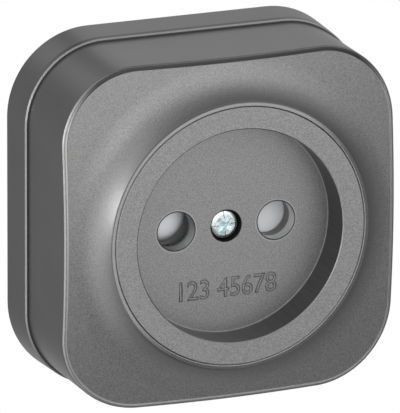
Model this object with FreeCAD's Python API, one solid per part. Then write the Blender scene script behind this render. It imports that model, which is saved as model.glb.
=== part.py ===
import FreeCAD, Part
import math
import os

# Surface-mounted two-pin wall socket, without an earth contact.
# Every piece is built as it lies on the bench: z is the height above the wall, y points up the wall.
# The last step stands the pieces on the wall: +Z up, front towards -Y, origin at the middle of the back.
# All sizes are in millimetres. Cutting blocks run 1 mm past the faces that they open.

# Whole socket
SOCKET_DEPTH = 30.3
RUN_GAP = 0.15
TIP_STEP = 0.3
TIP_LENGTH = 0.4

# Base: a shallow tray screwed to the wall
BASE_BACK_WIDTH = 64.5
BASE_FRONT_WIDTH = 63.9
BASE_HEIGHT = 8.2
BASE_CORNER = 15.2
BASE_WALL = 2.4
BASE_FLOOR = 2.0
BASE_EDGE = 0.25
BOSS_SETBACK = 0.4
PAD_WIDTH = 3.0
PAD_SETBACK = 1.5
LUG_HEIGHT = 2.0
LUG_ROOT = 3.0
LUG_THICKNESS = 1.2
LUG_LENGTH = 7.0
LUG_END_GAP = 1.6
WALL_SCREW_SPACING = 40.0
WALL_SLOT_WIDTH = 4.4
WALL_SLOT_LENGTH = 8.4
WALL_SLOT_RIM = 1.2
WALL_SLOT_RIM_HEIGHT = 0.8
CABLE_WINDOW_WIDTH = 13.0
CABLE_WINDOW_HEIGHT = 9.0
CABLE_WINDOW_X = 16.0
CABLE_WINDOW_Y = 18.6
CABLE_WINDOW_CORNER = 2.0
KNOCKOUT_WIDTH = 12.0
KNOCKOUT_HEIGHT = 5.0
KNOCKOUT_SKIN = 0.9

# Front cover: skirt, flared face and collar in one moulding, seated on the base's rim
COVER_LEDGE = 0.55
COVER_WIDTH = BASE_FRONT_WIDTH - 2 * COVER_LEDGE
COVER_CORNER = 14.3
COVER_WALL = 1.7
COLLAR_RADIUS = 24.4
COLLAR_EDGE = 0.2
COLLAR_LIP = 0.65
FLARE_RADIUS = 31.0
FLARE_DROP = 4.65
FACE_SLOPE = 0.2
COVER_EDGE_ROUND = 0.5
GROOVE_INSET = 0.05
GROOVE_WIDTH = 0.32
GROOVE_DEPTH = 0.25
SEAT_THICKNESS = 1.6
SEAT_BORE_RADIUS = 21.0
RIB_THICKNESS = 1.2
RIB_INSET = 0.5
RIB_DEPTH = 6.7

# Socket insert: ring, plug recess and pin passages in one moulding
RING_THICKNESS = 1.6
RING_GAP = 0.2
RING_EDGE = 0.1
RECESS_EDGE = 0.15
RECESS_RADIUS = 19.5
RECESS_DEPTH = 6.75
RECESS_WALL = 1.3
RECESS_FLOOR = 2.0
PIN_SPACING = 19.0
PIN_HOLE_RADIUS = 3.51
PIN_BUSH_RADIUS = 4.9
LEFT_BUSH_DEPTH = 3.1
RIGHT_BUSH_DEPTH = 4.7
SCREW_WELL_RADIUS = 3.0
SCREW_WELL_DEPTH = 2.6
SCREW_TUBE_RADIUS = 4.2
KEY_WIDTH = 2.4
KEY_DEPTH = 0.9
KEY_ROOT = 0.3

# Centre screw and its nut
SCREW_RADIUS = 1.5
SCREW_HEAD_RADIUS = 2.42
SCREW_HEAD_HEIGHT = 2.0
SCREW_DOME = 0.3
SCREW_CROWN = 0.1
SCREW_CROWN_SHARE = 0.8
SCREW_REACH = 0.7
CROSS_LENGTH = 3.3
CROSS_WIDTH = 0.8
CROSS_DEPTH = 1.1
CROSS_TURN = 50.0
NUT_WIDTH = 5.5
NUT_HEIGHT = 2.4
NUT_POCKET_GAP = 0.2
THREAD_FIT = 0.05
SCREW_PASS = 0.25

# Contact carrier: the inner moulding that holds everything live
CARRIER_LIFT = 1.6
CARRIER_WIDTH = 28.8
CARRIER_DEPTH = 18.4
CARRIER_CORNER = 1.5
WELL_RADIUS = 3.6
WELL_FLOOR = 0.7
SHELF_END = 22.6
SHELF_HEIGHT = 4.6
SHELF_DEPTH = 15.6
CHEEK_THICKNESS = 1.0
CHEEK_HEIGHT = 4.2
EAR_X = 11.0
EAR_Y = 12.6
EAR_RADIUS = 3.6
EAR_HEIGHT = 3.0
POST_RADIUS = 3.6
POST_HEIGHT = 3.7

# Screws that hold the carrier to the base
FIX_SCREW_RADIUS = 1.3
FIX_HEAD_RADIUS = 2.7
FIX_HEAD_HEIGHT = 1.6
FIX_PILOT_FLOOR = 0.9
FIX_PASS = 0.2
FIX_TIP_GAP = 0.2
HEAD_EDGE = 0.4
SLOT_WIDTH = 0.7
SLOT_DEPTH = 0.8

# Contacts, rings and terminals
PIN_RADIUS = 2.4
SHEET = 0.6
SLEEVE_LIFT = 0.3
SLEEVE_TOP_GAP = 0.8
SLEEVE_SLIT = 0.8
SLEEVE_FOOT = 1.5
STRAP_THICKNESS = 0.8
STRAP_WIDTH = 4.8
STRAP_OVERLAP = 0.4
PLATE_START = 15.4
PLATE_END = 21.8
CONTACT_RING_THICKNESS = 0.4
CONTACT_RING_HEIGHT = 1.6
CONTACT_RING_LIFT = 1.6
RING_FIT = 0.03
TERMINAL_X = 18.7
TERMINAL_SPACING = 6.2
TERMINAL_RADIUS = 1.7
TERMINAL_HEAD_RADIUS = 2.6
TERMINAL_HEAD_HEIGHT = 2.0
TERMINAL_LENGTH = 4.6
TERMINAL_PASS = 0.4
TERMINAL_TIP_GAP = 0.6
CLAMP_THICKNESS = 0.9
CLAMP_MARGIN = 0.4
CLAMP_LIP = 0.6
CLAMP_LIP_HEIGHT = 0.5

# Shutter: turns on the carrier's post and closes both pin holes
SHUTTER_FIT = 0.06
SHUTTER_LIFT = 0.15
SHUTTER_HEIGHT = 4.25
HUB_SETBACK = 0.1
SHUTTER_HUB_RADIUS = 5.7
SHUTTER_REACH = 13.7
SHUTTER_ARM_WIDTH = 8.2
SHUTTER_HUB_GAP = 0.3
SHUTTER_TOP_GAP = 0.25
LEFT_DOME_RADIUS = 6.5
LEFT_DOME_X = -10.4
LEFT_DOME_Y = 1.5
RIGHT_RAMP_FALL = 0.65
SHUTTER_TRAVEL = 40.0
STOP_RADIUS = 0.8
STOP_HEIGHT = 2.0
STOP_CIRCLE = 8.6

# Shutter spring: a wound spring under the shutter's hub
SPRING_WIRE = 0.32
SPRING_RADIUS = 4.45
SPRING_PITCH = 0.3
SPRING_COILS = 4
SPRING_LEG = 1.4
SPRING_POCKET_RADIUS = 5.25
SPRING_POCKET_DEPTH = 1.9
SPRING_HOLE_GAP = 0.15
SPRING_SEAT_GAP = 0.1
SPRING_TIP_GAP = 0.2
LEG_SWELL = 1.05

# Places that several pieces share
FLOOR_Z = SOCKET_DEPTH - RECESS_DEPTH
PIN_X = PIN_SPACING / 2
RING_BACK = SOCKET_DEPTH - RING_THICKNESS
SCREW_SEAT = FLOOR_Z - SCREW_WELL_DEPTH
RIB_START = RING_BACK - RIB_DEPTH
LEFT_BUSH_END = FLOOR_Z - LEFT_BUSH_DEPTH
RIGHT_BUSH_END = FLOOR_Z - RIGHT_BUSH_DEPTH

# The shutter hangs under the right-hand bush, and the carrier fills the height that is left below it
SHUTTER_BACK = RIGHT_BUSH_END - SHUTTER_TOP_GAP - SHUTTER_HEIGHT
CARRIER_TOP = SHUTTER_BACK - SHUTTER_LIFT
CARRIER_BACK = BASE_FLOOR + CARRIER_LIFT
SHELF_TOP = CARRIER_BACK + SHELF_HEIGHT
STRAP_TOP = SHELF_TOP + STRAP_THICKNESS
TERMINAL_TIP = STRAP_TOP + STRAP_THICKNESS - TERMINAL_LENGTH
SLEEVE_LOW = CARRIER_BACK + WELL_FLOOR + SLEEVE_LIFT
SLEEVE_HIGH = CARRIER_TOP - SLEEVE_TOP_GAP
POST_TOP = CARRIER_TOP + POST_HEIGHT
HUB_TOP = POST_TOP - HUB_SETBACK
SPRING_FLOOR = CARRIER_TOP - SPRING_POCKET_DEPTH
EARS = [(-EAR_X, EAR_Y), (EAR_X, -EAR_Y)]


def vec(x, y, z):
    return FreeCAD.Vector(x, y, z)


def rounded_outline(width, corner, z, depth=None):
    """Closed wire of a rectangle with round corners, centred on the axis."""
    a = width / 2
    b = (depth or width) / 2
    edges = []
    for quarter in range(4):
        run, side = (a, b) if quarter % 2 == 0 else (b, a)
        turn = math.radians(90 * quarter)

        def place(u, v):
            return vec(u * math.cos(turn) - v * math.sin(turn),
                       u * math.sin(turn) + v * math.cos(turn), z)

        c, s = run - corner, side - corner
        k = corner * math.sqrt(0.5)
        edges.append(Part.makeLine(place(run, -s), place(run, s)))
        edges.append(Part.Arc(place(run, s), place(c + k, s + k), place(c, side)).toShape())
    return Part.Wire(edges)


def rounded_block(width, corner, low, high, depth=None):
    face = Part.Face(rounded_outline(width, corner, low, depth))
    return face.extrude(vec(0, 0, high - low))


def rounded_taper(back_width, front_width, corner, low, high):
    """Block whose sides lean in evenly from the back outline to the front outline."""
    lean = (back_width - front_width) / 2
    wires = [rounded_outline(back_width, corner, low),
             rounded_outline(front_width, corner - lean, high)]
    return Part.makeLoft(wires, True, True)


def cylinder(radius, low, high, x=0.0, y=0.0):
    return Part.makeCylinder(radius, high - low, vec(x, y, low))


def tube(inner, outer, low, high, x=0.0, y=0.0):
    return cylinder(outer, low, high, x, y).cut(cylinder(inner, low, high, x, y))


def box(x0, x1, y0, y1, z0, z1):
    return Part.makeBox(x1 - x0, y1 - y0, z1 - z0, vec(x0, y0, z0))


def turned(points, x=0.0, y=0.0):
    """Solid of revolution from (radius, height) points."""
    wire = Part.makePolygon([vec(r, 0, z) for r, z in points + points[:1]])
    solid = Part.Face(wire).revolve(vec(0, 0, 0), vec(0, 0, 1), 360)
    solid.translate(vec(x, y, 0))
    return solid


def fuse(first, *rest):
    shape = first
    for other in rest:
        shape = shape.fuse(other)
    return shape.removeSplitter()


def slot_block(width, length, low, high, x, y):
    """Block with half-round ends, long along y."""
    r = width / 2
    half = (length - width) / 2
    return fuse(box(x - r, x + r, y - half, y + half, low, high),
                cylinder(r, low, high, x, y - half),
                cylinder(r, low, high, x, y + half))


def mirrored(shape):
    return shape.mirror(vec(0, 0, 0), vec(1, 0, 0))


def flare_arc(offset):
    """Hollow curve of the cover's face in the (radius, height) plane, moved into the wall by offset.

    It leaves the collar steeply and runs out tangent to the gently sloping face.
    """
    run = FLARE_RADIUS - COLLAR_RADIUS
    fall = FLARE_DROP - COLLAR_EDGE
    end = math.atan(FACE_SLOPE)
    start = 2 * math.atan2(fall, run) - end
    radius = math.hypot(run, fall) / (2 * math.sin((start - end) / 2))
    centre_r = COLLAR_RADIUS + radius * math.sin(start)
    centre_z = SOCKET_DEPTH - COLLAR_EDGE + radius * math.cos(start)

    def at(angle):
        return (centre_r - (radius + offset) * math.sin(angle),
                centre_z - (radius + offset) * math.cos(angle))

    return at(start), at((start + end) / 2), at(end)


def flare_body(offset, lowered, low, reach):
    """Everything behind the cover's front face, as a solid of revolution."""
    start, middle, end = [(r, z - lowered) for r, z in flare_arc(offset)]
    rim = (reach, end[1] - (reach - end[0]) * FACE_SLOPE)
    top = SOCKET_DEPTH - lowered - (COLLAR_EDGE + offset if offset else 0)
    top = max(top, start[1])

    def p(point):
        return vec(point[0], 0, point[1])

    edges = [Part.makeLine(p((0, low)), p((reach, low))),
             Part.makeLine(p((reach, low)), p(rim)),
             Part.makeLine(p(rim), p(end)),
             Part.Arc(p(end), p(middle), p(start)).toShape()]
    if top - start[1] > 0.001:
        edges.append(Part.makeLine(p(start), p((start[0], top))))
    edges.append(Part.makeLine(p((start[0], top)), p((0, top))))
    edges.append(Part.makeLine(p((0, top)), p((0, low))))
    return Part.Face(Part.Wire(edges)).revolve(vec(0, 0, 0), vec(0, 0, 1), 360)


def follows_outline(edge, width, corner):
    """True where an edge runs along a rounded square's side wall."""
    straight = width / 2 - corner
    span = edge.LastParameter - edge.FirstParameter
    for part in (0.0, 0.3, 0.5, 0.8, 1.0):
        q = edge.valueAt(edge.FirstParameter + span * part)
        dx = max(abs(q.x) - straight, 0)
        dy = max(abs(q.y) - straight, 0)
        if abs(math.hypot(dx, dy) - corner) > 0.01:
            return False
    return True


def outline_edges(shape, width, corner, above):
    return [e for e in shape.Edges
            if e.BoundBox.ZMin > above and follows_outline(e, width, corner)]


def base_inset(wall, floor):
    """Block parallel to the base's leaning sides, one wall inside them, from the floor to the rim."""
    block = rounded_taper(BASE_BACK_WIDTH - 2 * wall, BASE_FRONT_WIDTH - 2 * wall,
                          BASE_CORNER - wall, 0, BASE_HEIGHT)
    far = BASE_BACK_WIDTH + BASE_FRONT_WIDTH
    return block.common(box(-far, far, -far, far, floor, BASE_HEIGHT))


def make_base():
    corner_front = BASE_CORNER - (BASE_BACK_WIDTH - BASE_FRONT_WIDTH) / 2
    tray = rounded_taper(BASE_BACK_WIDTH, BASE_FRONT_WIDTH, BASE_CORNER, 0, BASE_HEIGHT)
    tray = tray.makeChamfer(BASE_EDGE, outline_edges(tray, BASE_FRONT_WIDTH, corner_front,
                                                     BASE_HEIGHT - 0.01))
    tray = tray.cut(base_inset(BASE_WALL, BASE_FLOOR))

    # Lugs on the rim that centre the cover's skirt, each with a root in the wall.
    # They stay on the straight stretch of the skirt.
    edge = BASE_FRONT_WIDTH / 2 - BASE_WALL
    outer_end = COVER_WIDTH / 2 - COVER_CORNER - LUG_END_GAP
    for turn in range(4):
        for low in (-outer_end, outer_end - LUG_LENGTH):
            lug = box(edge - LUG_THICKNESS, edge, low, low + LUG_LENGTH,
                      BASE_HEIGHT - LUG_ROOT, BASE_HEIGHT + LUG_HEIGHT)
            root = box(edge, edge + BASE_WALL / 2, low, low + LUG_LENGTH,
                       BASE_HEIGHT - LUG_ROOT, BASE_HEIGHT)
            lug = lug.fuse(root)
            lug.rotate(vec(0, 0, 0), vec(0, 0, 1), 90 * turn)
            tray = tray.fuse(lug)

    # Bosses and pads under the carrier
    for x, y in EARS:
        tray = tray.fuse(cylinder(EAR_RADIUS - BOSS_SETBACK, BASE_FLOOR, CARRIER_BACK, x, y))
    for side in (-1, 1):
        x = side * TERMINAL_X
        half = SHELF_DEPTH / 2 - PAD_SETBACK
        tray = tray.fuse(box(x - PAD_WIDTH / 2, x + PAD_WIDTH / 2, -half, half, BASE_FLOOR, CARRIER_BACK))

    # Long holes for the wall screws, each with a raised rim
    for side in (-1, 1):
        y = side * WALL_SCREW_SPACING / 2
        rim = slot_block(WALL_SLOT_WIDTH + 2 * WALL_SLOT_RIM, WALL_SLOT_LENGTH + 2 * WALL_SLOT_RIM,
                         BASE_FLOOR, BASE_FLOOR + WALL_SLOT_RIM_HEIGHT, 0, y)
        tray = tray.fuse(rim)
    tray = tray.removeSplitter()
    for side in (-1, 1):
        y = side * WALL_SCREW_SPACING / 2
        tray = tray.cut(slot_block(WALL_SLOT_WIDTH, WALL_SLOT_LENGTH, -1,
                                   BASE_FLOOR + WALL_SLOT_RIM_HEIGHT + 1, 0, y))

    # Cable window in the floor, knock-out in the lower rim, pilot holes
    window = rounded_block(CABLE_WINDOW_WIDTH, CABLE_WINDOW_CORNER, -1, BASE_FLOOR + 1,
                           CABLE_WINDOW_HEIGHT)
    window.translate(vec(CABLE_WINDOW_X, CABLE_WINDOW_Y, 0))
    far = BASE_BACK_WIDTH + BASE_FRONT_WIDTH
    knockout = box(-KNOCKOUT_WIDTH / 2, KNOCKOUT_WIDTH / 2, -far, -edge + 1,
                   BASE_HEIGHT - KNOCKOUT_HEIGHT, BASE_HEIGHT)
    knockout = knockout.common(base_inset(KNOCKOUT_SKIN, 0))
    tray = tray.cut(window).cut(knockout)
    for x, y in EARS:
        tray = tray.cut(cylinder(FIX_SCREW_RADIUS + THREAD_FIT, FIX_PILOT_FLOOR, CARRIER_BACK + 1, x, y))
    return tray


def make_cover():
    tall = SOCKET_DEPTH + 1
    far = COVER_WIDTH
    shell = rounded_block(COVER_WIDTH, COVER_CORNER, BASE_HEIGHT, tall)
    shell = shell.common(flare_body(0, 0, BASE_HEIGHT, far)).Solids[0]
    edges = outline_edges(shell, COVER_WIDTH, COVER_CORNER, BASE_HEIGHT + COVER_WALL)
    shell = shell.makeFillet(COVER_EDGE_ROUND, edges)

    # Fine groove just inside the rounded edge
    groove_out = COVER_WIDTH - 2 * (COVER_EDGE_ROUND + GROOVE_INSET)
    groove_in = groove_out - 2 * GROOVE_WIDTH
    shrink = (COVER_WIDTH - groove_out) / 2
    low = SOCKET_DEPTH / 2
    groove = rounded_block(groove_out, COVER_CORNER - shrink, low, tall)
    groove = groove.cut(rounded_block(groove_in, COVER_CORNER - shrink - GROOVE_WIDTH, low - 1, tall + 1))
    groove = groove.cut(flare_body(0, GROOVE_DEPTH, BASE_HEIGHT, far))
    shell = shell.cut(groove)

    # Hollow inside, with a seat left standing round the opening
    hollow = rounded_block(COVER_WIDTH - 2 * COVER_WALL, COVER_CORNER - COVER_WALL, BASE_HEIGHT - 1, tall)
    hollow = hollow.common(flare_body(COVER_WALL, 0, BASE_HEIGHT - 1, far))
    hollow = hollow.common(box(-far, far, -far, far, BASE_HEIGHT - 1, RING_BACK - SEAT_THICKNESS))
    outline = shell
    shell = shell.cut(hollow)

    # Four corner ribs behind the face
    for turn in range(4):
        rib = box(SEAT_BORE_RADIUS + RIB_INSET, far, -RIB_THICKNESS / 2, RIB_THICKNESS / 2,
                  RIB_START, SOCKET_DEPTH)
        rib.rotate(vec(0, 0, 0), vec(0, 0, 1), 45 + 90 * turn)
        shell = shell.fuse(rib.common(outline))

    shell = shell.cut(cylinder(SEAT_BORE_RADIUS, RIB_START - 1, tall))
    shell = shell.cut(cylinder(ring_radius() + RING_GAP, RING_BACK, tall))
    for side in (-1, 1):
        shell = shell.cut(key_block(side, RUN_GAP, BASE_HEIGHT, RING_BACK + 0.1))
    return shell.removeSplitter()


def ring_radius():
    return COLLAR_RADIUS - COLLAR_LIP - RING_GAP


def key_block(side, gap, low, high):
    """Key on the insert's wall, or its notch in the cover when gap is given."""
    inner = RECESS_RADIUS + RECESS_WALL - KEY_ROOT
    outer = RECESS_RADIUS + RECESS_WALL + KEY_DEPTH + gap
    half = KEY_WIDTH / 2 + gap
    y0, y1 = sorted((side * inner, side * outer))
    return box(-half, half, y0, y1, low, high)


def make_insert():
    wall = RECESS_RADIUS + RECESS_WALL
    floor_back = FLOOR_Z - RECESS_FLOOR
    cup = turned([(0, floor_back), (wall, floor_back), (wall, RING_BACK), (ring_radius(), RING_BACK),
                  (ring_radius(), SOCKET_DEPTH - RING_EDGE), (ring_radius() - RING_EDGE, SOCKET_DEPTH),
                  (RECESS_RADIUS + RECESS_EDGE, SOCKET_DEPTH), (RECESS_RADIUS, SOCKET_DEPTH - RECESS_EDGE),
                  (RECESS_RADIUS, FLOOR_Z), (0, FLOOR_Z)])
    cup = fuse(cup,
               cylinder(PIN_BUSH_RADIUS, LEFT_BUSH_END, FLOOR_Z, -PIN_X),
               cylinder(PIN_BUSH_RADIUS, RIGHT_BUSH_END, FLOOR_Z, PIN_X),
               cylinder(SCREW_TUBE_RADIUS, POST_TOP + RUN_GAP, FLOOR_Z),
               key_block(1, 0, floor_back, RING_BACK),
               key_block(-1, 0, floor_back, RING_BACK))
    for x in (-PIN_X, PIN_X):
        cup = cup.cut(cylinder(PIN_HOLE_RADIUS, POST_TOP - 1, FLOOR_Z + 1, x))
    cup = cup.cut(cylinder(SCREW_WELL_RADIUS, SCREW_SEAT, FLOOR_Z + 1))
    cup = cup.cut(cylinder(SCREW_RADIUS + SCREW_PASS, POST_TOP - 1, FLOOR_Z))
    return cup


def make_centre_screw():
    top = SCREW_SEAT + SCREW_HEAD_HEIGHT
    tip = CARRIER_BACK + SCREW_REACH
    screw = turned([(0, tip), (SCREW_RADIUS - TIP_STEP, tip), (SCREW_RADIUS, tip + TIP_LENGTH),
                    (SCREW_RADIUS, SCREW_SEAT), (SCREW_HEAD_RADIUS, SCREW_SEAT),
                    (SCREW_HEAD_RADIUS, top - SCREW_DOME),
                    (SCREW_HEAD_RADIUS * SCREW_CROWN_SHARE, top - SCREW_CROWN),
                    (0, top)])
    for turn in (0, 90):
        arm = box(-CROSS_LENGTH / 2, CROSS_LENGTH / 2, -CROSS_WIDTH / 2, CROSS_WIDTH / 2,
                  top - CROSS_DEPTH, top + 1)
        arm.rotate(vec(0, 0, 0), vec(0, 0, 1), CROSS_TURN + turn)
        screw = screw.cut(arm)
    return screw


def hexagon(width, low, high):
    corner = width / math.sqrt(3)
    points = [vec(corner * math.cos(math.radians(60 * i)), corner * math.sin(math.radians(60 * i)), low)
              for i in range(6)]
    return Part.Face(Part.makePolygon(points + points[:1])).extrude(vec(0, 0, high - low))


def make_centre_nut():
    top = CARRIER_BACK + NUT_HEIGHT + NUT_POCKET_GAP
    nut = hexagon(NUT_WIDTH, top - NUT_HEIGHT, top)
    return nut.cut(cylinder(SCREW_RADIUS + THREAD_FIT, CARRIER_BACK - 1, top + 1))


def make_carrier():
    body = rounded_block(CARRIER_WIDTH, CARRIER_CORNER, CARRIER_BACK, CARRIER_TOP, CARRIER_DEPTH)
    half = SHELF_DEPTH / 2
    for side in (-1, 1):
        x0, x1 = sorted((side * (CARRIER_WIDTH / 2 - 1), side * SHELF_END))
        body = body.fuse(box(x0, x1, -half, half, CARRIER_BACK, SHELF_TOP))
        for cheek in (-1, 1):
            y0, y1 = sorted((cheek * half, cheek * (half - CHEEK_THICKNESS)))
            body = body.fuse(box(x0, x1, y0, y1, CARRIER_BACK, SHELF_TOP + CHEEK_HEIGHT))
    for x, y in EARS:
        y0, y1 = sorted((y, math.copysign(CARRIER_DEPTH / 2 - 1, y)))
        body = body.fuse(box(x - EAR_RADIUS, x + EAR_RADIUS, y0, y1,
                             CARRIER_BACK, CARRIER_BACK + EAR_HEIGHT))
        body = body.fuse(cylinder(EAR_RADIUS, CARRIER_BACK, CARRIER_BACK + EAR_HEIGHT, x, y))
    body = body.removeSplitter()

    # Wells for the contacts, open sideways to the terminals
    for side in (-1, 1):
        body = body.cut(cylinder(WELL_RADIUS, CARRIER_BACK + WELL_FLOOR, CARRIER_TOP + 1, side * PIN_X))
        x0, x1 = sorted((side * PIN_X, side * (CARRIER_WIDTH / 2 + 1)))
        strap = STRAP_WIDTH / 2 + RUN_GAP
        body = body.cut(box(x0, x1, -strap, strap, SHELF_TOP, CARRIER_TOP + 1))
        for y in (-TERMINAL_SPACING / 2, TERMINAL_SPACING / 2):
            body = body.cut(cylinder(TERMINAL_RADIUS + TERMINAL_PASS, TERMINAL_TIP - TERMINAL_TIP_GAP,
                                     SHELF_TOP + 1, side * TERMINAL_X, y))

    # Pocket for the wound spring, then the post that the shutter turns on
    body = body.cut(cylinder(SPRING_POCKET_RADIUS, SPRING_FLOOR, CARRIER_TOP + 1))
    body = body.fuse(cylinder(POST_RADIUS, SPRING_FLOOR, POST_TOP))
    for x, y in stop_places():
        body = body.fuse(cylinder(STOP_RADIUS, CARRIER_TOP - 1, CARRIER_TOP + STOP_HEIGHT, x, y))
    body = body.removeSplitter()
    leg = SPRING_WIRE / 2 + SPRING_HOLE_GAP
    body = body.cut(cylinder(leg, SPRING_FLOOR - SPRING_LEG - SPRING_TIP_GAP, SPRING_FLOOR + 1,
                             0, SPRING_RADIUS))
    body = body.cut(cylinder(SCREW_RADIUS + SCREW_PASS, CARRIER_BACK - 1, POST_TOP + 1))
    body = body.cut(hexagon(NUT_WIDTH + 2 * THREAD_FIT, CARRIER_BACK - 1,
                            CARRIER_BACK + NUT_HEIGHT + NUT_POCKET_GAP))
    for x, y in EARS:
        body = body.cut(cylinder(FIX_SCREW_RADIUS + FIX_PASS, CARRIER_BACK - 1, CARRIER_TOP, x, y))
    return body


def stop_places():
    """Stops against both edges of each arm: one pair at rest, one pair at the end of the travel."""
    away = SHUTTER_ARM_WIDTH / 2 + RUN_GAP + STOP_RADIUS
    swing = math.degrees(math.asin(away / STOP_CIRCLE))
    places = []
    for arm in (0, 180):
        for angle in (arm + swing, arm - swing - SHUTTER_TRAVEL):
            a = math.radians(angle)
            places.append((STOP_CIRCLE * math.cos(a), STOP_CIRCLE * math.sin(a)))
    return places


def make_contact():
    """Right-hand contact: split sleeve, strap and terminal plate folded from one sheet."""
    low, high = SLEEVE_LOW, SLEEVE_HIGH
    outer = PIN_RADIUS + SHEET
    strap = box(PIN_X + outer - STRAP_OVERLAP, PLATE_START, -STRAP_WIDTH / 2, STRAP_WIDTH / 2,
                SHELF_TOP, STRAP_TOP)
    half = SHELF_DEPTH / 2 - CHEEK_THICKNESS - RUN_GAP
    plate = box(PLATE_START, PLATE_END, -half, half, SHELF_TOP, STRAP_TOP)
    sheet = fuse(cylinder(outer, low, high, PIN_X), strap, plate)
    sheet = sheet.cut(cylinder(PIN_RADIUS, low - 1, high + 1, PIN_X))
    slit = box(PIN_X - outer - 1, PIN_X, -SLEEVE_SLIT / 2, SLEEVE_SLIT / 2, low + SLEEVE_FOOT, high + 1)
    sheet = sheet.cut(slit)
    for y in (-TERMINAL_SPACING / 2, TERMINAL_SPACING / 2):
        sheet = sheet.cut(cylinder(TERMINAL_RADIUS + THREAD_FIT, SHELF_TOP - 1, STRAP_TOP + 1, TERMINAL_X, y))
    return sheet


def make_contact_ring():
    """Right-hand steel ring that keeps the sleeve tight, just under the strap."""
    inner = PIN_RADIUS + SHEET + RING_FIT
    outer = inner + CONTACT_RING_THICKNESS
    low = SLEEVE_LOW + CONTACT_RING_LIFT
    ring = tube(inner, outer, low, low + CONTACT_RING_HEIGHT, PIN_X)
    return ring.cut(box(PIN_X, PIN_X + outer + 1, -SLEEVE_SLIT, SLEEVE_SLIT, low - 1,
                        low + CONTACT_RING_HEIGHT + 1))


def make_clamp_plate():
    """Right-hand clamp plate with a lip at each end."""
    half = SHELF_DEPTH / 2 - CHEEK_THICKNESS - CLAMP_MARGIN
    top = STRAP_TOP + CLAMP_THICKNESS
    x0, x1 = PLATE_START + CLAMP_MARGIN, PLATE_END - CLAMP_MARGIN
    plate = box(x0, x1, -half, half, STRAP_TOP, top)
    for side in (-1, 1):
        y0, y1 = sorted((side * half, side * (half - CLAMP_LIP)))
        plate = plate.fuse(box(x0, x1, y0, y1, STRAP_TOP, top + CLAMP_LIP_HEIGHT))
    plate = plate.removeSplitter()
    for y in (-TERMINAL_SPACING / 2, TERMINAL_SPACING / 2):
        plate = plate.cut(cylinder(TERMINAL_RADIUS + SCREW_PASS, STRAP_TOP - 1, top + 1, TERMINAL_X, y))
    return plate


def slotted_screw(radius, head_radius, head_height, seat, tip, x, y):
    top = seat + head_height
    screw = turned([(0, tip), (radius - TIP_STEP, tip), (radius, tip + TIP_LENGTH), (radius, seat),
                    (head_radius, seat), (head_radius, top - HEAD_EDGE), (head_radius - HEAD_EDGE, top),
                    (0, top)], x, y)
    return screw.cut(box(x - head_radius - 1, x + head_radius + 1, y - SLOT_WIDTH / 2, y + SLOT_WIDTH / 2,
                         top - SLOT_DEPTH, top + 1))


def make_terminal_screw(side, row):
    seat = STRAP_TOP + CLAMP_THICKNESS
    return slotted_screw(TERMINAL_RADIUS, TERMINAL_HEAD_RADIUS, TERMINAL_HEAD_HEIGHT, seat,
                         TERMINAL_TIP, side * TERMINAL_X, row * TERMINAL_SPACING / 2)


def make_fix_screw(place):
    seat = CARRIER_BACK + EAR_HEIGHT
    return slotted_screw(FIX_SCREW_RADIUS, FIX_HEAD_RADIUS, FIX_HEAD_HEIGHT, seat,
                         FIX_PILOT_FLOOR + FIX_TIP_GAP, *place)


def shutter_arm(ramp, high):
    """One arm, cut to the shutter's reach and clear of the screw tube above the hub."""
    arm = ramp.common(cylinder(SHUTTER_REACH, SHUTTER_BACK, high + 1))
    return arm.cut(cylinder(SCREW_TUBE_RADIUS + SHUTTER_HUB_GAP, HUB_TOP, high + 1))


def left_ramp(high):
    """Bar as high as the hub, with a dome that a pin pushes aside."""
    half = SHUTTER_ARM_WIDTH / 2
    bar = box(-SHUTTER_REACH, 0, -half, half, SHUTTER_BACK, HUB_TOP)
    dome = Part.makeSphere(LEFT_DOME_RADIUS, vec(LEFT_DOME_X, LEFT_DOME_Y, high - LEFT_DOME_RADIUS))
    return bar.fuse(dome.common(box(-SHUTTER_REACH, 0, -half, half, SHUTTER_BACK, high)))


def right_ramp(high):
    """Bar whose front is high on the trailing edge and falls towards the other edge."""
    half = SHUTTER_ARM_WIDTH / 2
    profile = [vec(0, -half, SHUTTER_BACK), vec(0, half, SHUTTER_BACK),
               vec(0, half, high - RIGHT_RAMP_FALL), vec(0, -half, high)]
    return Part.Face(Part.makePolygon(profile + profile[:1])).extrude(vec(SHUTTER_REACH, 0, 0))


def make_shutter():
    hub = cylinder(SHUTTER_HUB_RADIUS, SHUTTER_BACK, HUB_TOP)
    left_high = LEFT_BUSH_END - SHUTTER_TOP_GAP
    right_high = RIGHT_BUSH_END - SHUTTER_TOP_GAP
    left = shutter_arm(left_ramp(left_high), left_high)
    right = shutter_arm(right_ramp(right_high), right_high)
    shutter = fuse(hub, left, right)
    shutter = shutter.cut(cylinder(POST_RADIUS + SHUTTER_FIT, SHUTTER_BACK - 1, LEFT_BUSH_END))
    hole = SPRING_WIRE / 2 + SPRING_HOLE_GAP
    return shutter.cut(cylinder(hole, SHUTTER_BACK - 1, SHUTTER_BACK + SPRING_LEG, 0, -SPRING_RADIUS))


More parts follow.
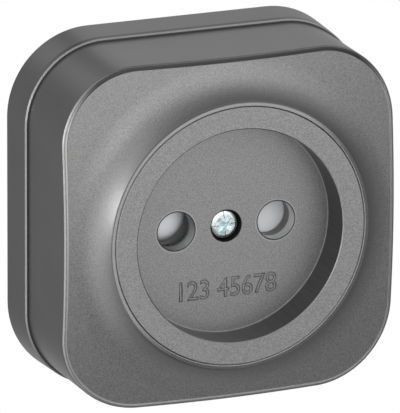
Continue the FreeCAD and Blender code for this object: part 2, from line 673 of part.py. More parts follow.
def make_shutter_spring():
    """Close-wound spring: one leg goes down into the carrier, the other up into the shutter.

    The coils touch, so they are turned as one ridged sleeve.
    """
    wire = SPRING_WIRE / 2
    first = SPRING_FLOOR + wire + SPRING_SEAT_GAP
    last = first + SPRING_PITCH * (SPRING_COILS - 1)
    outer, inner = [], []
    for i in range(SPRING_COILS):
        level = first + SPRING_PITCH * i
        valley = level + SPRING_PITCH / 2
        outer += [(SPRING_RADIUS + wire, level), (SPRING_RADIUS + wire / 2, valley)]
        inner += [(SPRING_RADIUS - wire, level), (SPRING_RADIUS - wire / 2, valley)]
    coil = turned([(SPRING_RADIUS, first - wire)] + outer[:-1]
                  + [(SPRING_RADIUS, last + wire)] + inner[-2::-1])
    leg = wire * LEG_SWELL
    down = cylinder(leg, SPRING_FLOOR - SPRING_LEG, first, 0, SPRING_RADIUS)
    up = cylinder(leg, last, SHUTTER_BACK + SPRING_LEG - SPRING_TIP_GAP, 0, -SPRING_RADIUS)
    return coil.fuse(down).fuse(up)


def on_the_wall(shape):
    """Stand a piece up: bench height becomes the way out of the wall."""
    placed = shape.copy()
    placed.rotate(vec(0, 0, 0), vec(1, 0, 0), 90)
    return placed


def build():
    contact = make_contact()
    ring = make_contact_ring()
    clamp = make_clamp_plate()
    pieces = {
        "base": make_base(),
        "front_cover": make_cover(),
        "socket_insert": make_insert(),
        "centre_screw": make_centre_screw(),
        "centre_nut": make_centre_nut(),
        "contact_carrier": make_carrier(),
        "contact_right": contact,
        "contact_left": mirrored(contact),
        "contact_ring_right": ring,
        "contact_ring_left": mirrored(ring),
        "clamp_plate_right": clamp,
        "clamp_plate_left": mirrored(clamp),
        "carrier_screw_upper": make_fix_screw(EARS[0]),
        "carrier_screw_lower": make_fix_screw(EARS[1]),
        "shutter": make_shutter(),
        "shutter_spring": make_shutter_spring(),
    }
    for side, hand in ((-1, "left"), (1, "right")):
        for row, level in ((1, "upper"), (-1, "lower")):
            pieces["terminal_screw_%s_%s" % (hand, level)] = make_terminal_screw(side, row)
    return pieces


os.makedirs("parts", exist_ok=True)
for name, piece in build().items():
    on_the_wall(piece).exportStep("parts/%s.step" % name)
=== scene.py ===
import math

import bmesh
import bpy
from mathutils import Matrix, Vector


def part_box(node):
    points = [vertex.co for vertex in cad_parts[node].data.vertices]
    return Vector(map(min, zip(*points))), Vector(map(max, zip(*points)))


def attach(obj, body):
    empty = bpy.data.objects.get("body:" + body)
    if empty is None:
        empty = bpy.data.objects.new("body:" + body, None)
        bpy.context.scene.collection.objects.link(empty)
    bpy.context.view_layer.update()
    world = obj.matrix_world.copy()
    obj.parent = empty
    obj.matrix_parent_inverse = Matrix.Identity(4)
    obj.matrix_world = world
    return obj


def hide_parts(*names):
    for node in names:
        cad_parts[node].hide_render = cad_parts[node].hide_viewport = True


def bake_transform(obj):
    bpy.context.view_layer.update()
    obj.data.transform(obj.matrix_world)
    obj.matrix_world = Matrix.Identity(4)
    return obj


# Looks of a surface-mounted two-pin wall socket. Lengths are in metres, in the frame of the
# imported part: +Z up the wall, front towards -Y, origin at the middle of the flat back.

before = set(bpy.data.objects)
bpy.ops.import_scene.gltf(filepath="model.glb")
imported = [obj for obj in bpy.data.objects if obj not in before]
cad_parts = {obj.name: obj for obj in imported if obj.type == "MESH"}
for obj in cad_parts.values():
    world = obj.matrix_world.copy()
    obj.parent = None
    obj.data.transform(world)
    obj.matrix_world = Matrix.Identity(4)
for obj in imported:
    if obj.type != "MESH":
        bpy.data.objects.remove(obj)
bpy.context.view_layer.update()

MM = 0.001


def mm(*lengths):
    """Lengths in millimetres, as metres."""
    return [length * MM for length in lengths]


# Directions, as seen from the front
FRONT = (0.0, -1.0, 0.0)
UP = (0.0, 0.0, 1.0)
LEFT = (-1.0, 0.0, 0.0)
LOWER_RIGHT = (0.8, 0.0, -0.6)

# Places read from the frame
insert_low, insert_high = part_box("socket_insert")
RING_FRONT = insert_low.y
RING_RADIUS = insert_high.x
SCREW_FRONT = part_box("centre_screw")[0].y
cover_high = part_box("front_cover")[1]
COVER_HALF = cover_high.x
COVER_BACK = cover_high.y
BASE_FRONT = COVER_BACK
SHUTTER_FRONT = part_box("shutter")[0].y

# Sizes of the pieces that the finishes, the spring and the marking follow
RECESS_RADIUS = 19.5 * MM
RECESS_DEPTH = 6.75 * MM
RECESS_FLOOR = RING_FRONT + RECESS_DEPTH
PIN_PLACE = 9.5 * MM
PIN_HOLE_RADIUS = 3.51 * MM
SCREW_WELL_RADIUS = 3.0 * MM
CROSS_TURN = math.radians(50.0)
COLLAR_GAP = 0.2 * MM
COLLAR_BORE = RING_RADIUS + COLLAR_GAP
COVER_CORNER = 14.3 * MM
EJECTOR_PLACE = 21.5 * MM
EJECTOR_RADIUS = 2.5 * MM
SPRING_CREASE = math.radians(40.0)
WELD = 1e-7

# Levels of the finishes
LACQUER = 0.25
LACQUER_SIDE = 0.25
INSERT_LACQUER = 0.342
MARKING_LACQUER = 0.18
# Painted shade on the steep wall of the recess
WALL_SHADE_LACQUER = 0.07
# Painted shade on the edges of the insert's pin holes and ring
RIM_SHADE_LACQUER = 0.05
# Painted shade in the cover's groove, next to its collar and at the foot of the flare
COVER_SHADE_LACQUER = 0.055
# Painted shade on the base's ledge and along its top
SEAM_SHADE_LACQUER = 0.10
# Painted highlights on edges, rims, the base's chamfer and the mouth of the collar's bore
HIGHLIGHT_LACQUER = 0.55
BARE_PLASTIC = 0.016
BACK_PLASTIC = 0.075
HOLE_PLASTIC = 0.16
# Painted shade on the flank of the shutter's dome
FLANK_SHADE_PLASTIC = 0.13
PLATED_STEEL = 0.66
SPRING_STEEL = 0.45
CARRIER_LIGHT = 0.66
CARRIER_DARK = 0.60

# How the finishes vary about those levels: the lacquer's grain at the front, its clouds at the
# sides and the streaks in the painted shade on the recess wall, the mist on the back of the base, and
# scuffed steel
GRAIN_DARK = 0.74
GRAIN_LIGHT = 1.28
CLOUD_DARK = 0.97
CLOUD_LIGHT = 1.03
STREAK_DARK = 0.85
STREAK_LIGHT = 1.15
MIST_DARK = 0.85
MIST_LIGHT = 1.25
SCUFF_DARK = 0.88

# Shine of the lacquer: the satin sides are smoother, and the grain makes the front uneven
LACQUER_METAL = 0.9
LACQUER_ROUGHNESS = 0.44
SATIN_SMOOTHING = 0.13
GRAIN_ROUGHENING = 0.10
BARE_ROUGHNESS = 0.45
LACQUER_IOR = 1.45
PLASTIC_IOR = 1.5

# Tints and colours
LACQUER_GLINT = (1.0, 0.995, 0.99)
WARM_PLASTIC = (1.0, 0.96, 0.90)
AGED_PLASTIC = (1.0, 0.99, 0.96)
ZINC_DULL = (0.84, 0.90, 0.91, 1.0)
ZINC_BRIGHT = (0.97, 0.98, 0.97, 1.0)
ZINC_SUNK = (0.62, 0.80, 0.84, 1.0)
ZINC_TICK = (0.06, 0.07, 0.07, 1.0)
BRASS_DARK = (0.70, 0.52, 0.22, 1.0)
BRASS_LIGHT = (0.82, 0.64, 0.32, 1.0)
BRASS_TARNISH = (0.48, 0.34, 0.15, 1.0)
SHUTTER_WHITE = (0.93, 0.95, 0.98, 1.0)
SHUTTER_SHADE = (0.90, 0.92, 0.95, 1.0)

# Fades of the finishes. Two numbers say where a mark starts and where it is full. Four go on
# with where it is still full and where it ends. A length counts from the edge, the axis or the
# diagonal that the mark follows. A number without mm is the cosine of an angle, 1 for a surface
# that faces straight that way.
LACQUER_FORWARD = (0.45, 0.9)
LACQUER_SIDEWAYS = (0.6, 0.2)

RECESS_WALL = mm(18.0, 18.5, 20.1, 20.3)
RECESS_WALL_STEEP = (0.6, 0.3)
FLOOR_LAYER = mm(-0.12, -0.06, 0.10, 0.30)
FLOOR_CORNER = mm(-0.24, -0.12, 0.2, 0.3)
HOLE_EDGE = mm(0.24, 0.16)
HOLE_HIGHLIGHT_BAND = mm(0.46, 0.34)
HOLE_WALL = mm(0.10, 0.04)
HOLE_WALL_STEEP = (0.5, 0.2)
HOLE_UNSPRAYED = mm(2.3, 2.5)
BRINK_DEPTH = mm(0.6, 0.3)
BRINK_WIDTH = mm(1.0, 0.8)
BRINK_ROUNDED = (0.98, 0.80)
BRINK_SHADED = (-0.1, 0.25)
WELL_WALL = mm(0.10, 0.02)
WELL_DEPTH = mm(0.02, 0.15)

CHAMFER_DEPTH = mm(0.30, 0.24)
CHAMFER_TURNED = (0.3, 0.6)
LEDGE_DEPTH = mm(0.10, 0.04)
LEDGE_FORWARD = (0.85, 0.95)
TOP_BAND = mm(0.26, 0.32, 1.2, 1.5)
TOP_LEVEL = (0.6, 0.95)
BASE_BACKWARDS = (-0.6, -0.95)
OVERSPRAY = mm(26, 34)
EJECTOR_RING = mm(0.16, 0.05)

FACE_FORWARD = mm(-6.0, -6.5)
GROOVE_DARK = mm(0.16, 0.22, 0.84, 0.90)
GROOVE_PALE = mm(0.49, 0.55, 0.84, 0.90)
GROOVE_TOP = mm(-8, 4)
LEFT_EDGE = mm(0.02, 0.08, 0.30, 0.36)
LEFT_EDGE_LENGTH = mm(-8, 0)
COLLAR_HIGHLIGHT_BAND = mm(0.05, 0.15, 0.45, 0.55)
COLLAR_SHADE_BAND = mm(0.05, 0.15, 0.8, 1.2)
COLLAR_UPPER_LEFT = mm(-8, 8)
FLARE_FOOT = mm(0.6, 1.0, 1.0, 4.0)
FLARE_FOOT_RIGHT = mm(-18, -4)
FLARE_FOOT_UPPER = mm(-22, -6)
COVER_BACKWARDS = (-0.15, -0.5)
COVER_SEAM_SHADE = mm(-0.24, -0.16)
BORE_WALL = mm(0.08, 0.02)
BORE_MOUTH = mm(1.5, 1.0)

SCREW_SUNK = mm(0.25, 0.5)
TICK_WIDTH = mm(0.11, 0.06)
TICK_START = mm(1.1, 1.2)
DOME_FLANK = mm(0.9, 2.6)
LEFT_ARM = mm(-3.0, -4.0)

# How strongly each of those marks shows: the painted highlights, the painted shade, the ejector rings,
# the ticks and the tarnish
RIM_HIGHLIGHT_STRENGTH = 0.7
CHAMFER_HIGHLIGHT_TOP = 0.6
CHAMFER_HIGHLIGHT_LEFT = 0.1
TOP_SHADE_STRENGTH = 0.8
EJECTOR_DARKNESS = 0.6
LEFT_EDGE_HIGHLIGHT_STRENGTH = 0.5
COLLAR_HIGHLIGHT_STRENGTH = 0.55
COLLAR_SHADE_STRENGTH = 0.55
FLARE_FOOT_SHADE_STRENGTH = 0.3
TICK_DARKNESS = 0.85
TARNISH = 0.5

# Marking: a row of plain digits on the recess floor
DIGITS = "123 45678"
DIGIT_SIZE = 5.0 * MM
DIGIT_STROKE = 0.12 * MM
DIGIT_CURVE_STEPS = 6
DIGIT_BEVEL_STEPS = 1
MARKING_LEFT = -8.9 * MM
MARKING_FOOT = -13.2 * MM
MARKING_LENGTH = 18.6 * MM

# Camera: a long lens from the front, a little to the left and above
CAMERA_AZIMUTH = math.radians(-22.26)
CAMERA_ELEVATION = math.radians(16.98)
CAMERA_ROLL = math.radians(0.24)
CAMERA_DISTANCE = 1.568
RING_RIGHT_OF_AXIS = 7.16 * MM
RING_BELOW_AXIS = 5.22 * MM
IMAGE_HEIGHT = 413
PIXELS_PER_MM_AT_RING = 5.699
IMAGE_HEIGHT_AT_RING = IMAGE_HEIGHT / PIXELS_PER_MM_AT_RING * MM
SENSOR = 36.0
CLIP_NEAR = 0.05
CLIP_FAR = 50

# Softboxes: name, azimuth and elevation in degrees, width in metres, watts
SOFTBOX_DISTANCE = 0.36
SOFTBOXES = [
    ("rear_left_strip", -98, 8, 0.08, 0.12),
    ("left_strip", -80, 10, 0.08, 0.24),
    ("camera_side_strip", -22, 17, 0.08, 0.097),
    ("left_softbox", -62, 0, 0.26, 0.250),
    ("upper_left_softbox", -62, 32, 0.26, 0.149),
    ("front_softbox", -5, 0, 0.26, 0.204),
    ("upper_front_softbox", 0, 32, 0.26, 0.174),
    ("lower_front_softbox", 22, -17, 0.26, 0.024),
    ("right_front_softbox", 35, 5, 0.26, 0.110),
    ("upper_right_softbox", 30, 35, 0.26, 0.201),
    ("right_softbox", 65, 30, 0.26, 0.094),
    ("lower_left_softbox", -60, -35, 0.26, 0.178),
    ("lower_right_softbox", 60, -35, 0.26, 0.022),
    ("top_softbox", -30, 70, 0.26, 0.026),
    ("top_right_softbox", 60, 65, 0.26, 0.022),
    ("rear_softbox", 150, 35, 0.26, 0.059),
    ("rear_left_softbox", -150, 45, 0.26, 0.055),
    ("bottom_left_softbox", -25, -60, 0.26, 0.011),
    ("bottom_softbox", 30, -65, 0.26, 0.044),
]

# Surroundings
WHITE = (1.0, 1.0, 1.0, 1.0)
ROOM = 0.262
BACKDROP = 0.392
BACKDROP_EDGE = (0.84, 0.98)
FLOOR_LEVEL = -0.80
FLOOR_HALF = 1.2
FLOOR_WHITE = 0.9
FLOOR_DARK = 0.80
FLOOR_LIGHT = 0.83


class Value:
    """A shader value that does its own arithmetic: each expression adds a Math node."""

    def __init__(self, nodes, socket):
        self.nodes = nodes
        self.socket = socket

    def math(self, operation, *values):
        return self.nodes.node("Math", {"operation": operation}, dict(enumerate(values)))

    def __add__(self, other):
        return self.math("ADD", self, other)

    def __sub__(self, other):
        return self.math("SUBTRACT", self, other)

    def __rsub__(self, other):
        return self.math("SUBTRACT", other, self)

    def __mul__(self, other):
        return self.math("MULTIPLY", self, other)

    def __neg__(self):
        return self * -1.0

    def __abs__(self):
        return self.math("ABSOLUTE", self)

    __radd__ = __add__
    __rmul__ = __mul__

    def larger(self, other):
        return self.math("MAXIMUM", self, other)

    def smaller(self, other):
        return self.math("MINIMUM", self, other)

    def root(self):
        return self.math("SQRT", self)

    def ramp(self, start, full):
        """0 at start, 1 at full, clamped in between."""
        return self.nodes.node("MapRange", {"clamp": True},
                               {"Value": self, "From Min": start, "From Max": full})

    def band(self, start, full, still_full, end):
        """1 between full and still_full, down to 0 at start and at end."""
        return self.ramp(start, full) * self.ramp(end, still_full)


class Nodes:
    """A node tree that nodes are added to."""

    def __init__(self, tree):
        self.tree = tree

    def node(self, kind, settings=None, inputs=None, out=0):
        """Any shader node: its settings first, then the values or links of its sockets."""
        made = self.tree.nodes.new("ShaderNode" + kind)
        for name, value in (settings or {}).items():
            setattr(made, name, value)
        for name, value in (inputs or {}).items():
            self.feed(made.inputs[name], value)
        return Value(self, made.outputs[out]) if made.outputs else None

    def feed(self, socket, value):
        if isinstance(value, Value):
            self.tree.links.new(value.socket, socket)
        else:
            socket.default_value = value

    def dot(self, vector, direction):
        """Cosine between a unit vector and a direction."""
        return self.node("VectorMath", {"operation": "DOT_PRODUCT"}, {0: vector, 1: direction},
                         out="Value")


class Finish(Nodes):
    """One node material with a Principled shader."""

    def __init__(self, name, **plain):
        self.material = bpy.data.materials.new(name)
        self.material.use_nodes = True
        super().__init__(self.material.node_tree)
        self.tree.nodes.clear()
        self.shader = self.tree.nodes.new("ShaderNodeBsdfPrincipled")
        self.output = self.tree.nodes.new("ShaderNodeOutputMaterial")
        self.tree.links.new(self.shader.outputs[0], self.output.inputs["Surface"])
        self.place = self.node("TexCoord", out="Object")
        self.x, self.y, self.z = [self.node("SeparateXYZ", inputs={0: self.place}, out=axis)
                                  for axis in "XYZ"]
        for socket, value in plain.items():
            self.set(socket, value)

    def set(self, socket, value):
        self.feed(self.shader.inputs[socket], value)

    def noise(self, size, detail, contrast=(0.3, 0.7), stretch=None):
        """Noise from 0 to 1 whose blobs are about size metres wide."""
        place = self.place
        if stretch:
            place = self.node("Mapping", inputs={"Vector": self.place, "Scale": stretch})
        noise = self.node("TexNoise", inputs={"Vector": place, "Scale": 1.0 / size, "Detail": detail})
        return noise.ramp(*contrast) if contrast else noise

    def blend(self, factor, first, second):
        """Colour that goes from first to second. Sockets 6, 7 and 2 are a Mix node's colours."""
        return self.node("Mix", {"data_type": "RGBA"}, {0: factor, 6: first, 7: second}, out=2)

    def facing(self, direction):
        """1 where the surface faces straight in a direction, -1 where it faces away from it."""
        return self.dot(self.node("TexCoord", out="Normal"), direction)

    def away_from(self, x):
        """Distance from the line along Y that crosses the middle of the socket's height at x."""
        return diagonal(self.x - x, self.z)

    def finished(self, colour, roughness, relief, depth, strength):
        """The material, with its colour, its roughness and its bump."""
        self.set("Base Color", colour)
        self.set("Roughness", roughness)
        self.set("Normal", self.node("Bump", inputs={"Height": relief, "Distance": depth,
                                                     "Strength": strength}))
        return self.material


def diagonal(first, second):
    return (first * first + second * second).root()


def grey(level, tint=(1.0, 1.0, 1.0)):
    return tuple(level * t for t in tint) + (1.0,)


def lacquer(name, level=LACQUER, painted_shade=None, bare=None, painted_light=None, shade_level=RIM_SHADE_LACQUER):
    """Dark grey metallic lacquer: grainy where it faces forward, satin on the sides."""
    finish = Finish(name, IOR=LACQUER_IOR)
    front = finish.facing(FRONT).ramp(*LACQUER_FORWARD)
    satin = finish.facing(FRONT).ramp(*LACQUER_SIDEWAYS)
    grain = finish.noise(size=0.21 * MM, detail=2.0, contrast=(0.32, 0.68))
    cloud = finish.noise(size=9 * MM, detail=2.0)
    flat = finish.blend(grain, grey(level * GRAIN_DARK), grey(level * GRAIN_LIGHT, LACQUER_GLINT))
    side = finish.blend(cloud, grey(LACQUER_SIDE * CLOUD_DARK), grey(LACQUER_SIDE * CLOUD_LIGHT))
    colour = finish.blend(front, side, flat)
    uneven = (grain - 0.5) * front * GRAIN_ROUGHENING
    rough = LACQUER_ROUGHNESS - satin * SATIN_SMOOTHING + uneven
    metallic = LACQUER_METAL
    # Painted shade on the recess wall: a darker lacquer colour with streaks
    if painted_shade:
        streaks = finish.noise(size=0.5 * MM, detail=2.0, stretch=(1.0, 0.05, 1.0))
        sparse_shade = finish.blend(streaks, grey(WALL_SHADE_LACQUER * STREAK_DARK),
                              grey(WALL_SHADE_LACQUER * STREAK_LIGHT))
        colour = finish.blend(painted_shade(finish), colour, sparse_shade)
    # Painted shade and painted highlights on edges, rims and seams
    if painted_light:
        dark, light = painted_light(finish)
        colour = finish.blend(light, colour, grey(HIGHLIGHT_LACQUER))
        colour = finish.blend(dark, colour, grey(shade_level))
    if bare:
        mask, plastic_colour = bare(finish)
        colour = finish.blend(mask, colour, plastic_colour)
        metallic = (1.0 - mask) * metallic
        rough = rough + (BARE_ROUGHNESS - rough) * mask
    finish.set("Metallic", metallic)
    return finish.finished(colour, rough, relief=grain * front, depth=0.008 * MM, strength=0.6)


def insert_wall_shade(finish):
    """Steep wall of the recess, which carries painted shade: a darker, streaky lacquer colour."""
    steep = finish.facing(FRONT).ramp(*RECESS_WALL_STEEP)
    return steep * finish.away_from(0.0).band(*RECESS_WALL)


def insert_painted_light(finish):
    """Painted light on the insert: painted shade as dark lines on the edges of the pin holes and on
    the upper left of the ring's inner edge, and painted highlights round the holes, along the corner
    of the floor and on the hole walls."""
    front = finish.facing(FRONT)
    floor = (finish.y - RECESS_FLOOR).band(*FLOOR_LAYER)
    hole = finish.away_from(-PIN_PLACE).smaller(finish.away_from(PIN_PLACE)) - PIN_HOLE_RADIUS
    edge = hole.ramp(*HOLE_EDGE) * floor
    hole_highlight = hole.ramp(*HOLE_HIGHLIGHT_BAND) * floor
    wall_highlight = hole.ramp(*HOLE_WALL) * front.ramp(*HOLE_WALL_STEEP)
    recess = finish.away_from(0.0) - RECESS_RADIUS
    corner = recess.band(*FLOOR_CORNER) * floor
    brink_shade = recess.ramp(*BRINK_WIDTH) * (finish.y - RING_FRONT).ramp(*BRINK_DEPTH)
    brink_shade = brink_shade * front.ramp(*BRINK_ROUNDED)
    shaded = finish.facing(LOWER_RIGHT).ramp(*BRINK_SHADED)
    dark = edge.larger(brink_shade * shaded) * (1.0 - wall_highlight)
    painted_highlight = (corner.larger(hole_highlight) * RIM_HIGHLIGHT_STRENGTH).larger(wall_highlight)
    return dark, painted_highlight


def insert_bare(finish):
    """Parts of the insert that the spray didn't reach: the screw well, deep in the holes, the back."""
    depth = finish.y - RECESS_FLOOR
    deep = depth.ramp(*HOLE_UNSPRAYED)
    well = (finish.away_from(0.0) - SCREW_WELL_RADIUS).ramp(*WELL_WALL) * depth.ramp(*WELL_DEPTH)
    colour = finish.blend(well, grey(HOLE_PLASTIC, WARM_PLASTIC), grey(BARE_PLASTIC))
    return deep.larger(well), colour


def base_painted_light(finish):
    """Painted light on the front edge of the base: a painted highlight on the chamfer along the top
    and the left, painted shade on the ledge before it and in a band along the top behind it."""
    depth = finish.y - BASE_FRONT
    up = finish.facing(UP)
    left = finish.facing(LEFT).ramp(*CHAMFER_TURNED)
    lit = (up.ramp(*CHAMFER_TURNED) * CHAMFER_HIGHLIGHT_TOP).larger(left * CHAMFER_HIGHLIGHT_LEFT)
    chamfer_highlight = depth.ramp(*CHAMFER_DEPTH) * lit
    ledge_shade = depth.ramp(*LEDGE_DEPTH) * finish.facing(FRONT).ramp(*LEDGE_FORWARD)
    behind = depth.band(*TOP_BAND) * up.ramp(*TOP_LEVEL) * TOP_SHADE_STRENGTH
    return ledge_shade.larger(behind), chamfer_highlight


def base_bare(finish):
    """Back of the base: bare plastic with a little overspray, and the round marks of ejector pins."""
    back = finish.facing(FRONT).ramp(*BASE_BACKWARDS)
    mist = finish.noise(size=1.2 * MM, detail=4.0, contrast=(0.25, 0.85))
    across = abs(finish.x)
    up = abs(finish.z)
    edge = across.larger(up).ramp(*OVERSPRAY)
    plain = finish.blend(mist, grey(BACK_PLASTIC * MIST_DARK), grey(BACK_PLASTIC * MIST_LIGHT))
    sprayed = finish.blend(edge * mist, plain, grey(LACQUER))
    away = diagonal(across - EJECTOR_PLACE, up - EJECTOR_PLACE)
    ring = abs(away - EJECTOR_RADIUS).ramp(*EJECTOR_RING)
    return back, finish.blend(ring * EJECTOR_DARKNESS, sprayed, grey(BARE_PLASTIC))


def groove_painted_light(finish):
    """Painted light on the fine groove along the outline: painted shade at the top with the land
    beside it, a painted highlight elsewhere, and a painted highlight on the edge at the left."""
    straight = COVER_HALF - COVER_CORNER
    across = abs(finish.x) - straight
    up = abs(finish.z) - straight
    corner = diagonal(across.larger(0.0), up.larger(0.0))
    inset = COVER_CORNER - corner - across.larger(up).smaller(0.0)
    face = (finish.y - COVER_BACK).ramp(*FACE_FORWARD)
    top = (finish.z - abs(finish.x)).ramp(*GROOVE_TOP)
    dark = inset.band(*GROOVE_DARK) * top * face
    painted_highlight = inset.band(*GROOVE_PALE) * (1.0 - top)
    left = inset.band(*LEFT_EDGE) * (-finish.x - abs(finish.z)).ramp(*LEFT_EDGE_LENGTH)
    return dark, painted_highlight.larger(left * LEFT_EDGE_HIGHLIGHT_STRENGTH) * face


def cover_painted_light(finish):
    """Painted light on the groove and the collar: a painted highlight on the collar's upper left,
    and painted shade on its lower right and at the foot of the flare."""
    dark, painted_highlight = groove_painted_light(finish)
    collar = finish.away_from(0.0) - COLLAR_BORE
    upper_left = (finish.z - finish.x).ramp(*COLLAR_UPPER_LEFT)
    gathered_highlight = collar.band(*COLLAR_HIGHLIGHT_BAND) * upper_left
    sparse_shade = collar.band(*COLLAR_SHADE_BAND) * (1.0 - upper_left)
    foot = collar.band(*FLARE_FOOT)
    foot = foot * finish.x.ramp(*FLARE_FOOT_RIGHT) * finish.z.ramp(*FLARE_FOOT_UPPER)
    painted_shade = (sparse_shade * COLLAR_SHADE_STRENGTH).larger(foot * FLARE_FOOT_SHADE_STRENGTH)
    return dark.larger(painted_shade), painted_highlight.larger(gathered_highlight * COLLAR_HIGHLIGHT_STRENGTH)


def cover_bare(finish):
    """Bare plastic inside the cover and in the bore of its collar, painted shade on its back edge at
    the seam, and a painted highlight on the bore's mouth.
    """
    inside = finish.facing(FRONT).ramp(*COVER_BACKWARDS)
    seam_shade = (finish.y - COVER_BACK).ramp(*COVER_SEAM_SHADE)
    bore = (finish.away_from(0.0) - COLLAR_BORE).ramp(*BORE_WALL)
    mouth_highlight = (finish.y - RING_FRONT).ramp(*BORE_MOUTH)
    colour = finish.blend(bore * mouth_highlight, grey(BARE_PLASTIC), grey(HIGHLIGHT_LACQUER))
    return inside.larger(seam_shade).larger(bore), colour


def zinc():
    """Bright zinc with a pale blue passivation, darker ticks between the arms of the cross."""
    finish = Finish("zinc_plating", Metallic=1.0)
    patches = finish.noise(size=0.55 * MM, detail=3.0, contrast=(0.35, 0.65))
    sunk = (finish.y - SCREW_FRONT).ramp(*SCREW_SUNK)
    turn = CROSS_TURN + math.radians(45)
    along = finish.x * math.cos(turn) + finish.z * math.sin(turn)
    across = finish.z * math.cos(turn) - finish.x * math.sin(turn)
    tick = abs(along).smaller(abs(across)).ramp(*TICK_WIDTH)
    tick = tick * finish.away_from(0.0).ramp(*TICK_START)
    plate = finish.blend(patches, ZINC_DULL, ZINC_BRIGHT)
    tinted = finish.blend(sunk, plate, ZINC_SUNK)
    colour = finish.blend(tick * TICK_DARKNESS, tinted, ZINC_TICK)
    return finish.finished(colour, roughness=0.22 + patches * 0.14,
                           relief=patches, depth=0.03 * MM, strength=0.8)


def steel(name, level):
    """Barrel-plated steel: even grey with soft scuffs."""
    finish = Finish(name, Metallic=1.0)
    scuffs = finish.noise(size=0.8 * MM, detail=4.0, stretch=(1.0, 3.0, 1.0))
    colour = finish.blend(scuffs, grey(level * SCUFF_DARK), grey(level))
    return finish.finished(colour, roughness=0.26 + scuffs * 0.16,
                           relief=scuffs, depth=0.01 * MM, strength=0.4)


def brass():
    """Stamped brass strip with rolling lines and a slight tarnish."""
    finish = Finish("contact_brass", Metallic=1.0)
    lines = finish.noise(size=0.25 * MM, detail=3.0, stretch=(0.06, 1.0, 1.0))
    tarnish = finish.noise(size=4 * MM, detail=3.0, contrast=(0.45, 0.7))
    clean = finish.blend(lines, BRASS_DARK, BRASS_LIGHT)
    colour = finish.blend(tarnish * TARNISH, clean, BRASS_TARNISH)
    return finish.finished(colour, roughness=0.28 + lines * 0.12 + tarnish * 0.1,
                           relief=lines, depth=0.008 * MM, strength=0.4)


def plastic(name, light, dark, rough, grain_size, shade=None):
    """Plain moulded plastic with a fine spark-eroded grain."""
    finish = Finish(name, IOR=PLASTIC_IOR)
    grain = finish.noise(size=grain_size, detail=3.0)
    cloud = finish.noise(size=6 * MM, detail=2.0)
    colour = finish.blend(cloud * 0.7 + grain * 0.3, light, dark)
    # shade gives the mask of a painted shade and its colour
    if shade:
        mask, shade_colour = shade(finish)
        colour = finish.blend(mask, colour, shade_colour)
    return finish.finished(colour, roughness=rough + grain * 0.08,
                           relief=grain, depth=0.006 * MM, strength=0.4)


def dome_flank_shade(finish):
    """Painted shade on the flank of the shutter's left dome, which is greyer than its top."""
    flank_shade = (finish.y - SHUTTER_FRONT).ramp(*DOME_FLANK) * finish.x.ramp(*LEFT_ARM)
    return flank_shade, grey(FLANK_SHADE_PLASTIC)


def dress(material, *nodes):
    for name in nodes:
        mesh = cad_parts[name].data
        mesh.materials.clear()
        mesh.materials.append(material)


def add_piece(name, mesh, material):
    """A smooth-shaded object of its own, in one material."""
    mesh.name = name
    for face in mesh.polygons:
        face.use_smooth = True
    mesh.materials.clear()
    mesh.materials.append(material)
    piece = bpy.data.objects.new(name, mesh)
    bpy.context.scene.collection.objects.link(piece)
    return piece


def make_wound_spring(material):
    """Shutter spring as a smooth-shaded piece of its own, welded at its seams, which stands in for the
    imported one."""
    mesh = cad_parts["shutter_spring"].data.copy()
    work = bmesh.new()
    work.from_mesh(mesh)
    bmesh.ops.remove_doubles(work, verts=work.verts, dist=WELD)
    for edge in work.edges:
        edge.smooth = len(edge.link_faces) == 2 and edge.calc_face_angle() < SPRING_CREASE
    work.to_mesh(mesh)
    work.free()
    spring = add_piece("wound_spring", mesh, material)
    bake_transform(spring)
    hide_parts("shutter_spring")


def make_marking(material):
    """Raised outlines of plain digits on the recess floor."""
    text = bpy.data.curves.new("marking", "FONT")
    text.body = DIGITS
    text.fill_mode = "NONE"
    text.resolution_u = DIGIT_CURVE_STEPS
    text.size = DIGIT_SIZE
    text.bevel_depth = DIGIT_STROKE
    text.bevel_resolution = DIGIT_BEVEL_STEPS
    shape = bpy.data.objects.new("marking_text", text)
    bpy.context.scene.collection.objects.link(shape)
    graph = bpy.context.evaluated_depsgraph_get()
    mesh = bpy.data.meshes.new_from_object(shape.evaluated_get(graph))
    bpy.data.objects.remove(shape)
    work = bmesh.new()
    work.from_mesh(mesh)
    bmesh.ops.remove_doubles(work, verts=work.verts, dist=WELD)
    bmesh.ops.recalc_face_normals(work, faces=work.faces)
    left = min(v.co.x for v in work.verts)
    right = max(v.co.x for v in work.verts)
    foot = min(v.co.y for v in work.verts)
    upright = Matrix.Rotation(math.pi / 2, 3, "X")
    bmesh.ops.translate(work, verts=work.verts, vec=(-left, -foot, 0))
    bmesh.ops.scale(work, verts=work.verts, vec=(MARKING_LENGTH / (right - left), 1, 1))
    bmesh.ops.rotate(work, verts=work.verts, cent=(0, 0, 0), matrix=upright)
    bmesh.ops.translate(work, verts=work.verts, vec=(MARKING_LEFT, RECESS_FLOOR, MARKING_FOOT))
    work.to_mesh(mesh)
    work.free()
    marking = add_piece("marking", mesh, material)
    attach(marking, "socket")


def direction(azimuth, elevation):
    """Unit vector away from the socket. Azimuth 0 is straight to the front and grows to the right."""
    level = math.cos(elevation)
    return Vector((math.sin(azimuth) * level, -math.cos(azimuth) * level, math.sin(elevation)))


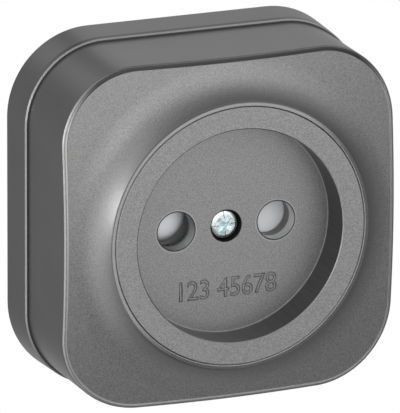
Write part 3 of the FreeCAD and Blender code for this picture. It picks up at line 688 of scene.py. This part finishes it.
def make_camera():
    back = direction(CAMERA_AZIMUTH, CAMERA_ELEVATION)
    level = Vector((0, 0, 1)).cross(back).normalized()
    rise = back.cross(level)
    right = level * math.cos(CAMERA_ROLL) + rise * math.sin(CAMERA_ROLL)
    up = rise * math.cos(CAMERA_ROLL) - level * math.sin(CAMERA_ROLL)
    ring = Vector((0, RING_FRONT, 0))
    place = ring - right * RING_RIGHT_OF_AXIS + up * RING_BELOW_AXIS + back * CAMERA_DISTANCE
    data = bpy.data.cameras.new("camera")
    data.sensor_width = SENSOR
    data.lens = SENSOR * CAMERA_DISTANCE / IMAGE_HEIGHT_AT_RING
    data.clip_start = CLIP_NEAR
    data.clip_end = CLIP_FAR
    camera = bpy.data.objects.new("camera", data)
    turn = Matrix((right, up, back)).transposed()
    camera.matrix_world = Matrix.Translation(place) @ turn.to_4x4()
    bpy.context.scene.collection.objects.link(camera)
    bpy.context.scene.camera = camera


def make_softbox(name, azimuth, elevation, width, watts):
    """Square soft light that points at the middle of the socket."""
    out = direction(math.radians(azimuth), math.radians(elevation))
    data = bpy.data.lights.new(name, "AREA")
    data.shape = "SQUARE"
    data.size = width
    data.energy = watts
    light = bpy.data.objects.new(name, data)
    light.rotation_mode = "QUATERNION"
    light.rotation_quaternion = out.to_track_quat("Z", "Y")
    light.location = out * SOFTBOX_DISTANCE + Vector((0, RING_FRONT / 2, 0))
    light.visible_camera = False
    bpy.context.scene.collection.objects.link(light)


def make_backdrop():
    """The camera sees white all round, reflections see pale only behind the socket, and a dim
    room lights the rest."""
    world = bpy.data.worlds.new("studio")
    bpy.context.scene.world = world
    world.use_nodes = True
    world.node_tree.nodes.clear()
    sky = Nodes(world.node_tree)
    behind = direction(CAMERA_AZIMUTH + math.pi, -CAMERA_ELEVATION)
    towards = sky.dot(sky.node("TexCoord", out="Generated"), behind)
    camera = sky.node("LightPath", out="Is Camera Ray")
    glossy = sky.node("LightPath", out="Is Glossy Ray")
    clear = sky.node("LightPath", out="Is Transmission Ray")
    mirrored = glossy.larger(clear) * towards.ramp(*BACKDROP_EDGE) * BACKDROP
    seen = sky.node("Background", inputs={"Color": WHITE, "Strength": 1.0})
    dim = sky.node("Background", inputs={"Color": WHITE, "Strength": ROOM})
    mix = sky.node("MixShader", inputs={0: camera.larger(mirrored), 1: dim, 2: seen})
    sky.node("OutputWorld", inputs={"Surface": mix})


def make_floor():
    """Pale floor below the socket, which the camera sees as nearly white."""
    work = bmesh.new()
    level = Matrix.Translation((0, 0, FLOOR_LEVEL))
    bmesh.ops.create_grid(work, x_segments=1, y_segments=1, size=FLOOR_HALF, matrix=level)
    mesh = bpy.data.meshes.new("floor")
    work.to_mesh(mesh)
    work.free()
    floor = bpy.data.objects.new("floor", mesh)
    bpy.context.scene.collection.objects.link(floor)
    paper = Finish("floor_paper", Roughness=0.9)
    fibres = paper.noise(size=60 * MM, detail=3.0, contrast=None)
    paper.set("Base Color", paper.blend(fibres, grey(FLOOR_DARK), grey(FLOOR_LIGHT)))
    glow = paper.node("Emission", inputs={"Color": WHITE, "Strength": 1.0})
    factor = paper.node("LightPath", out="Is Camera Ray") * FLOOR_WHITE
    plain = Value(paper, paper.shader.outputs[0])
    mix = paper.node("MixShader", inputs={0: factor, 1: plain, 2: glow})
    paper.feed(paper.output.inputs["Surface"], mix)
    mesh.materials.append(paper.material)


def main():
    dress(lacquer("insert_lacquer", INSERT_LACQUER, insert_wall_shade, insert_bare, insert_painted_light),
          "socket_insert")
    dress(lacquer("base_lacquer", bare=base_bare, painted_light=base_painted_light, shade_level=SEAM_SHADE_LACQUER), "base")
    dress(lacquer("cover_lacquer", bare=cover_bare, painted_light=cover_painted_light, shade_level=COVER_SHADE_LACQUER),
          "front_cover")
    dress(zinc(), "centre_screw")
    dress(steel("plated_steel", PLATED_STEEL),
          "centre_nut", "carrier_screw_upper", "carrier_screw_lower",
          "clamp_plate_left", "clamp_plate_right",
          "terminal_screw_left_upper", "terminal_screw_left_lower",
          "terminal_screw_right_upper", "terminal_screw_right_lower")
    spring_steel = steel("spring_steel", SPRING_STEEL)
    dress(spring_steel, "shutter_spring", "contact_ring_left", "contact_ring_right")
    make_wound_spring(spring_steel)
    dress(brass(), "contact_left", "contact_right")
    dress(plastic("carrier_plastic", grey(CARRIER_LIGHT), grey(CARRIER_DARK, AGED_PLASTIC),
                  rough=0.42, grain_size=0.3 * MM),
          "contact_carrier")
    dress(plastic("shutter_plastic", SHUTTER_WHITE, SHUTTER_SHADE,
                  rough=0.26, grain_size=0.4 * MM, shade=dome_flank_shade),
          "shutter")
    make_marking(lacquer("marking_lacquer", MARKING_LACQUER))
    make_camera()
    for row in SOFTBOXES:
        make_softbox(*row)
    make_backdrop()
    make_floor()
    bpy.context.scene.view_settings.view_transform = "Standard"


main()
